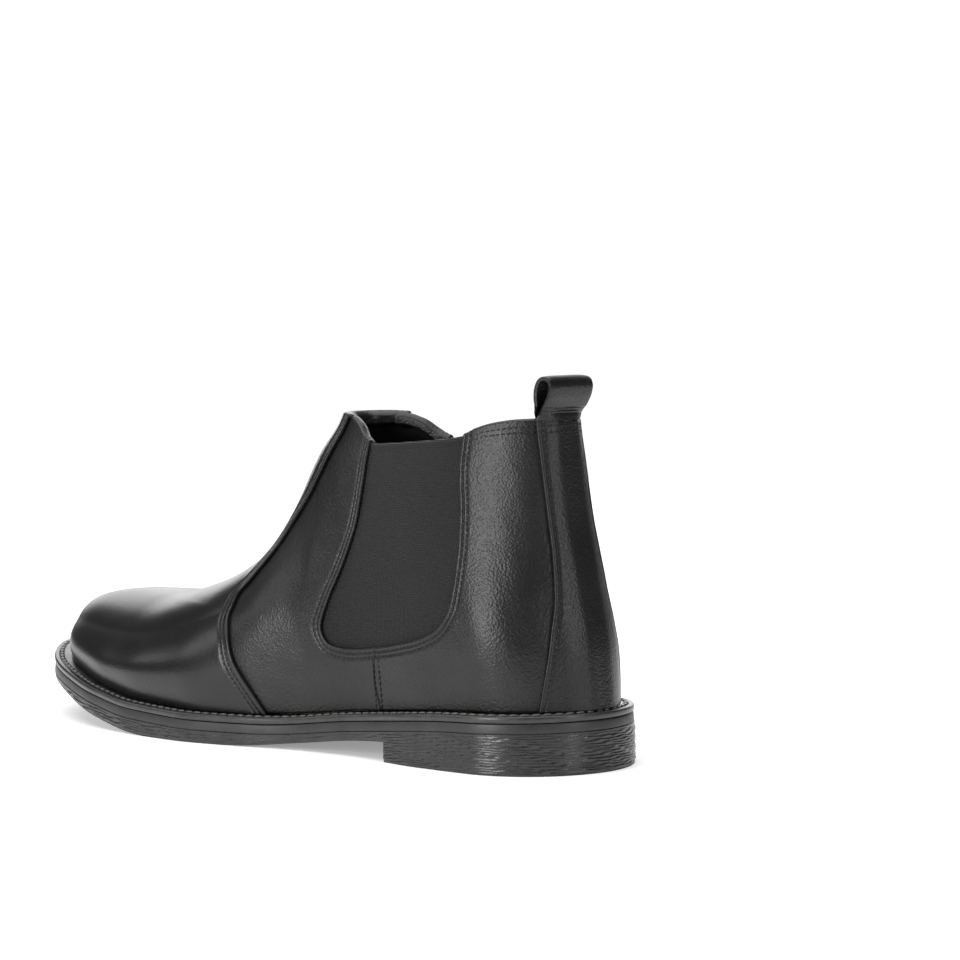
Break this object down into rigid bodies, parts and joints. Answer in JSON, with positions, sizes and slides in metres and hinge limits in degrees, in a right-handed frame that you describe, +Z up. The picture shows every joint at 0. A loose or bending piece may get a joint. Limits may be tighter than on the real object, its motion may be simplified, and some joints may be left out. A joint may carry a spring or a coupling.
{
  "type": "chelsea boot",
  "caption": "Low ankle boot with elastic side gores, a pull tab at the heel, a stitched welt and a moulded rubber sole with a low heel; left foot.",
  "frame": {"origin": "under the middle of the boot's bounding box, on the ground the heel and ball rest on", "axes": "+X from heel to toe, +Y to the wearer's outer (left) side, +Z up"},
  "size_m": [0.3, 0.0986, 0.1391],
  "materials": {
    "rubber_sole": "moulded, ribbed, satin",
    "foam_core": "foamed",
    "rubber_runner": "smooth satin",
    "welt_leather": "burnished satin",
    "waxed_thread": "waxed",
    "spring_steel": "plain",
    "cork": "matt",
    "fibre_board": "matt",
    "sock_leather": "satin",
    "stiffener": "matt",
    "lining_leather": "satin",
    "elastic_web": "fine ribbed weave",
    "upper_leather": "fine grain, semi gloss",
    "toe_leather": "fine grain, polished"
  },
  "bodies": {
    "boot": {"outsole": "rubber_sole", "heel_core": "foam_core", "midsole": "rubber_runner", "welt": "welt_leather", "welt_stitching": "waxed_thread", "shank": "spring_steel", "cork_filler": "cork", "insole_board": "fibre_board", "sock_liner": "sock_leather", "toe_puff": "stiffener", "heel_counter": "stiffener", "vamp_lining": "lining_leather", "heel_lining": "lining_leather", "side_lining_outer": "lining_leather", "side_lining_inner": "lining_leather", "gore_outer": "elastic_web", "gore_inner": "elastic_web", "quarter_front_outer": "upper_leather", "quarter_front_inner": "upper_leather", "quarter_back_outer": "upper_leather", "quarter_back_inner": "upper_leather", "vamp": "toe_leather", "backstay": "upper_leather", "pull_tab_tail": "upper_leather"},
    "pull_tab": {"pull_tab": "upper_leather"}
  },
  "joints": [
    {"name": "pull_tab_fold", "type": "hinge", "parent": "boot", "child": "pull_tab", "pos_m": [-0.128, -0.00077, 0.1233], "axis": [0, 1, 0], "range_deg": [-50, 45], "stiffness_Nm_per_rad": 0.01}
  ]
}
